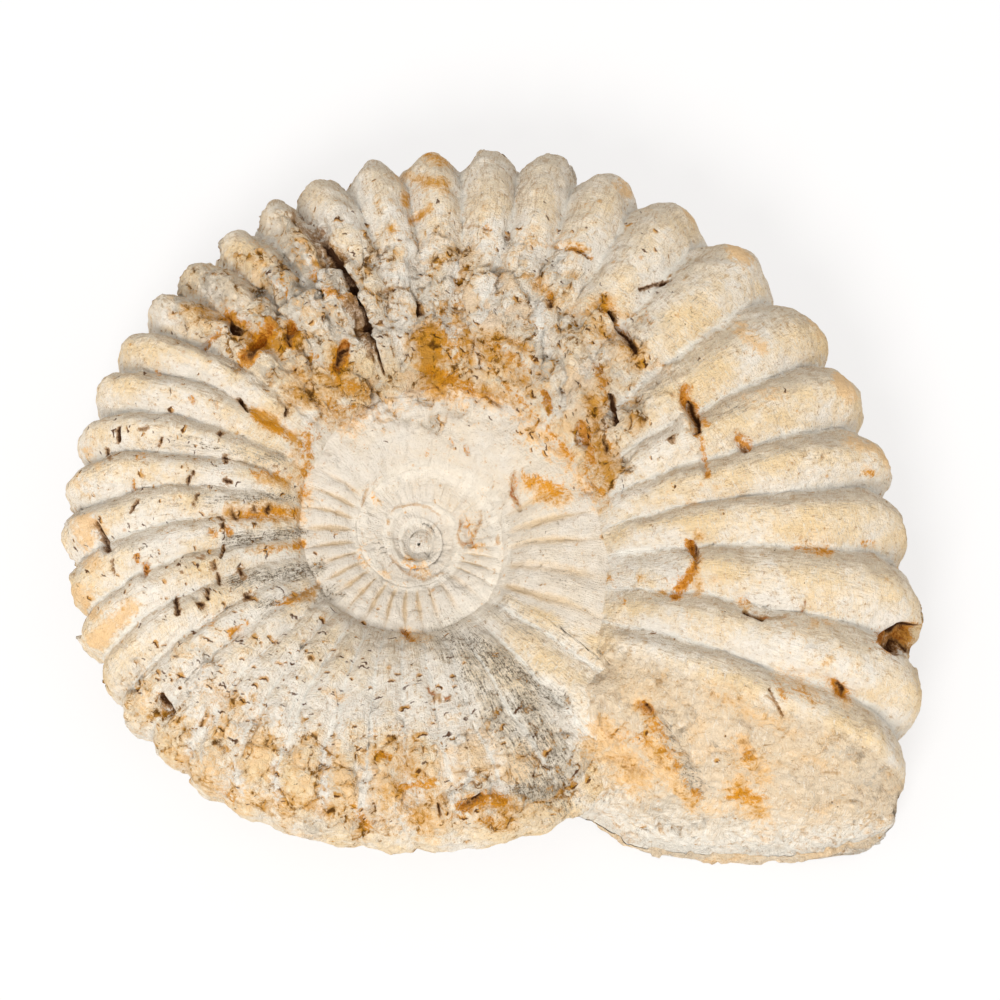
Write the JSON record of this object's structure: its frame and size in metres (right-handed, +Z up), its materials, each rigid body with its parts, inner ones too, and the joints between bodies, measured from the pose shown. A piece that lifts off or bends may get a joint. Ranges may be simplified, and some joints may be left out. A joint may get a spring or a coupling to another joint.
{
  "type": "ammonite fossil",
  "caption": "Large weathered ammonite fossil lying on its side: a flat ribbed spiral with a broken mouth filled with stone.",
  "frame": {"origin": "middle of the fossil's bounding box, on the surface it lies on", "axes": "+X along its longest extent, towards the outer side of the wide mouth end; +Z up, out of the flank that shows"},
  "size_m": [0.2098, 0.1798, 0.0531],
  "materials": {
    "limestone": "matte, weathered, with rusty stains"
  },
  "bodies": {
    "root": {"ammonite": "limestone"}
  },
  "joints": []
}
